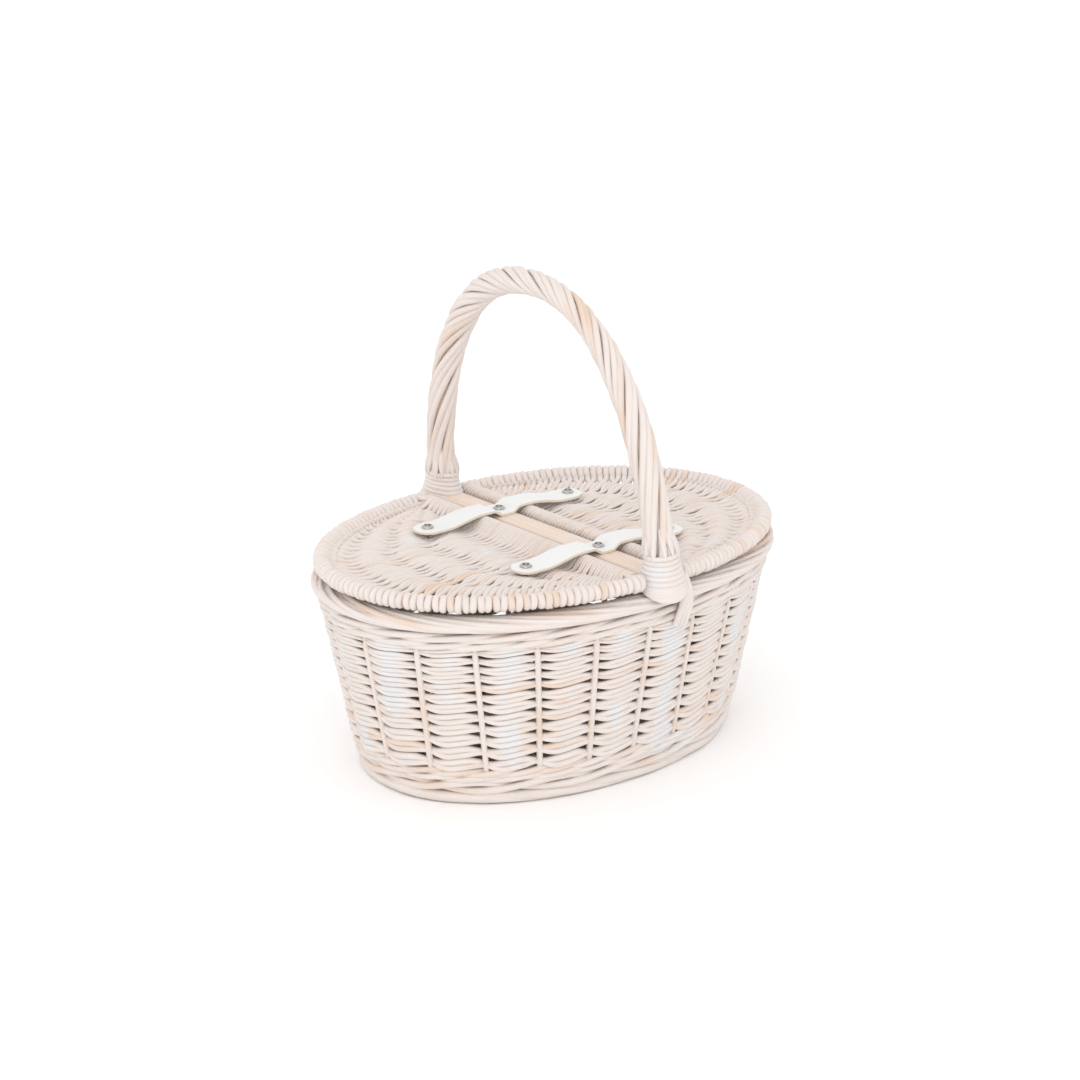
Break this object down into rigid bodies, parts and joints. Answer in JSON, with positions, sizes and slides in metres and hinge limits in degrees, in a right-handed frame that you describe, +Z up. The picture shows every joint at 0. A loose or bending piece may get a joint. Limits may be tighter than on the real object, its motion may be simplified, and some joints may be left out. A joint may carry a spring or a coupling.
{
  "type": "wicker picnic basket",
  "caption": "Oval willow picnic basket with a fixed roped bow handle and two half lids hinged at the middle on riveted leather straps.",
  "frame": {"origin": "centre of the foot at floor level", "axes": "+X along the basket towards the right lid, +Y across it along the centre bar, +Z up"},
  "size_m": [0.386, 0.2866, 0.3636],
  "materials": {
    "washed_willow": "matt whitewash",
    "bare_willow": "matt",
    "white_leather": "smooth",
    "nickel": "nickel plated"
  },
  "bodies": {
    "basket": {"base_mat": "washed_willow", "foot_border": "washed_willow", "bottom_wale": "washed_willow", "side_weave": "washed_willow", "top_wale": "washed_willow", "rim_border": "washed_willow", "handle_core": "bare_willow", "handle_strand_1": "washed_willow", "handle_strand_2": "washed_willow", "handle_strand_3": "washed_willow", "handle_strand_4": "washed_willow", "handle_strand_5": "washed_willow", "handle_strand_6": "washed_willow", "handle_strand_7": "washed_willow", "handle_strand_8": "washed_willow", "handle_strand_9": "washed_willow", "handle_strand_10": "washed_willow", "handle_collar_front": "washed_willow", "handle_collar_back": "washed_willow", "centre_bar": "bare_willow", "strap_middle_front": "white_leather", "rivet_middle_front": "nickel", "washer_middle_front": "nickel", "strap_middle_back": "white_leather", "rivet_middle_back": "nickel", "washer_middle_back": "nickel"},
    "lid_left": {"lid_left_hinge_rod": "washed_willow", "lid_left_bow": "washed_willow", "lid_left_panel": "washed_willow", "strap_left_front": "white_leather", "rivet_left_front": "nickel", "washer_left_front": "nickel", "strap_left_back": "white_leather", "rivet_left_back": "nickel", "washer_left_back": "nickel"},
    "lid_right": {"lid_right_hinge_rod": "washed_willow", "lid_right_bow": "washed_willow", "lid_right_panel": "washed_willow", "strap_right_front": "white_leather", "rivet_right_front": "nickel", "washer_right_front": "nickel", "strap_right_back": "white_leather", "rivet_right_back": "nickel", "washer_right_back": "nickel"}
  },
  "joints": [
    {"name": "lid_left_hinge", "type": "hinge", "parent": "basket", "child": "lid_left", "pos_m": [-0.013, 0, 0.1723], "axis": [0, 1, 0], "range_deg": [0, 91]},
    {"name": "lid_right_hinge", "type": "hinge", "parent": "basket", "child": "lid_right", "pos_m": [0.013, 0, 0.1723], "axis": [0, -1, 0], "range_deg": [0, 91]}
  ]
}
